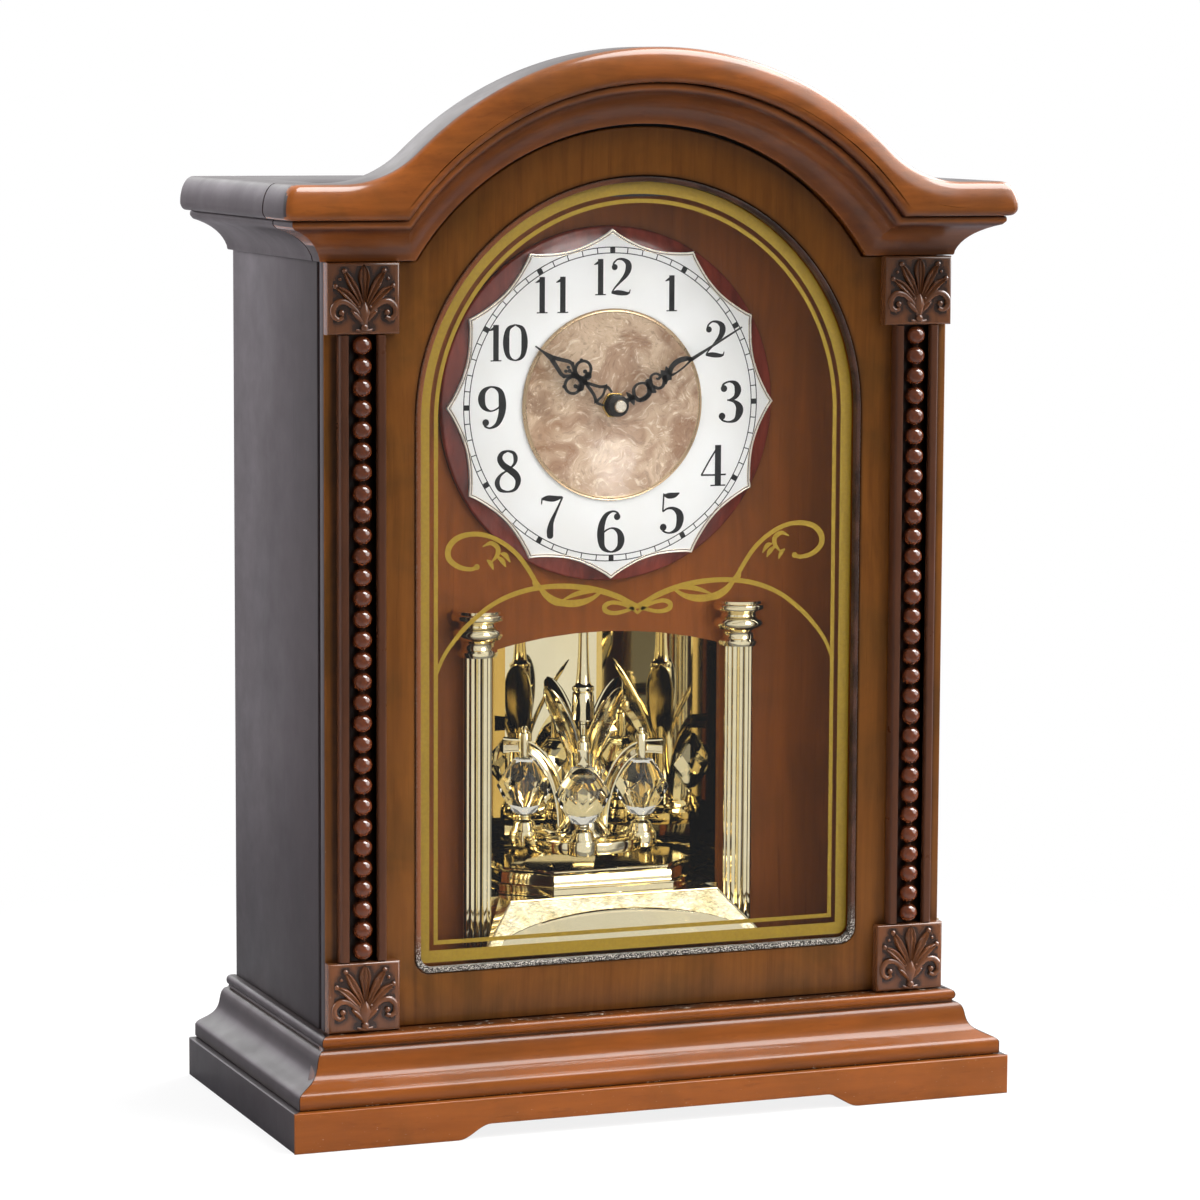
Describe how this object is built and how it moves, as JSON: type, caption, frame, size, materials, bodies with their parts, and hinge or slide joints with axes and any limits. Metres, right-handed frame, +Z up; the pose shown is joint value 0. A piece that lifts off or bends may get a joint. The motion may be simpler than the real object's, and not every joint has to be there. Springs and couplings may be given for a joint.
{
  "type": "mantel clock",
  "caption": "Arched wooden mantel clock with a glazed door, star-edged dial, and a turning crystal pendulum in a mirrored alcove.",
  "frame": {"origin": "centre of the footprint box, on the surface that the clock stands on", "axes": "+Z up, -Y out of the dial towards the viewer, +X to the viewer's right"},
  "size_m": [0.315, 0.1502, 0.4338],
  "materials": {
    "front_wood": "glossy orange-brown veneer with dark glaze in the recesses",
    "side_wood": "glossy dark stained wood",
    "carved_wood": "glossy mid-brown carving with dark glaze and pale worn edges",
    "board_wood": "satin veneer",
    "back_board": "plain hardboard",
    "bead_black": "black with worn pale edges",
    "glass": "clear, with gold lines printed on its rear face",
    "dial_white": "satin white with printed track and figures",
    "pearl": "mottled pearl",
    "rosewood": "high gloss",
    "hand_black": "satin black",
    "gilt": "bright gold plate",
    "brass": "polished",
    "crystal": "clear, faceted",
    "steel": "plain",
    "movement_plastic": "black, moulded",
    "gear_plastic": "natural",
    "battery_sleeve": "printed sleeve",
    "magnet": "dark ferrite"
  },
  "bodies": {
    "case": {"plinth_front_rail": "front_wood", "base_moulding_front": "front_wood", "cornice_front": "front_wood", "plinth_left_rail": "side_wood", "plinth_right_rail": "side_wood", "base_moulding_left": "side_wood", "base_moulding_right": "side_wood", "left_side_panel": "side_wood", "right_side_panel": "side_wood", "roof_panel": "side_wood", "pediment_backing": "side_wood", "cornice_left_return": "side_wood", "cornice_right_return": "side_wood", "dial_board": "board_wood", "base_board": "back_board", "back_panel": "back_board", "dial_plate": "dial_white", "dial_centre_disc": "pearl", "dial_backing_ring": "rosewood", "chamber_tray": "gilt", "chamber_walls": "gilt", "left_column": "gilt", "right_column": "gilt", "pendulum_plinth": "gilt", "mounting_nut": "brass", "upper_door_hinge_case_leaf": "brass", "lower_door_hinge_case_leaf": "brass", "hatch_hinge_case_leaf": "brass", "movement_case": "movement_plastic", "movement_cover": "movement_plastic", "pendulum_drive_unit": "movement_plastic", "battery": "battery_sleeve", "door_magnet": "magnet"},
    "door": {"door_panel": "front_wood", "glass_pane": "glass", "glass_bead": "bead_black", "left_pilaster": "carved_wood", "right_pilaster": "carved_wood", "upper_left_rosette": "carved_wood", "upper_right_rosette": "carved_wood", "lower_left_rosette": "carved_wood", "lower_right_rosette": "carved_wood", "upper_door_hinge_door_leaf": "brass", "lower_door_hinge_door_leaf": "brass", "door_strike_plate": "steel"},
    "hatch": {"rear_hatch": "movement_plastic", "hatch_hinge_hatch_leaf": "brass"},
    "minute": {"minute_arbor": "steel", "minute_hand": "hand_black", "hand_nut": "brass"},
    "hour": {"hour_wheel": "gear_plastic", "hour_hand": "hand_black"},
    "intermediate": {"intermediate_wheel": "gear_plastic"},
    "setting": {"setting_knob": "movement_plastic"},
    "pendulum": {"pendulum_crown": "gilt", "pendulum_stem": "gilt", "front_crystal": "crystal", "right_crystal": "crystal", "rear_crystal": "crystal", "left_crystal": "crystal"}
  },
  "joints": [
    {"name": "door_hinge", "type": "hinge", "parent": "case", "child": "door", "pos_m": [0.137, -0.04205, 0.1958], "axis": [0, 0, 1], "range_deg": [0, 100]},
    {"name": "hatch_hinge", "type": "hinge", "parent": "case", "child": "hatch", "pos_m": [-0.056, 0.07275, 0.274], "axis": [0, 0, 1], "range_deg": [0, 110]},
    {"name": "minute_turn", "type": "hinge", "parent": "case", "child": "minute", "pos_m": [0, -0.01555, 0.288], "axis": [0, 1, 0], "continuous": true},
    {"name": "hour_turn", "type": "hinge", "parent": "case", "child": "hour", "pos_m": [0, -0.01555, 0.288], "axis": [0, 1, 0], "continuous": true},
    {"name": "intermediate_turn", "type": "hinge", "parent": "case", "child": "intermediate", "pos_m": [-0.012, -0.00355, 0.288], "axis": [0, 1, 0], "continuous": true},
    {"name": "setting_turn", "type": "hinge", "parent": "case", "child": "setting", "pos_m": [-0.012, -0.00355, 0.276], "axis": [0, 1, 0], "continuous": true},
    {"name": "pendulum_turn", "type": "hinge", "parent": "case", "child": "pendulum", "pos_m": [0, 0.01715, 0.15], "axis": [0, 0, 1], "range_deg": [-180, 180]}
  ],
  "couplings": [
    {"joint": "hour_turn", "follows": "minute_turn", "ratio": 0.083333},
    {"joint": "intermediate_turn", "follows": "minute_turn", "ratio": -0.33333},
    {"joint": "setting_turn", "follows": "minute_turn", "ratio": 1}
  ]
}
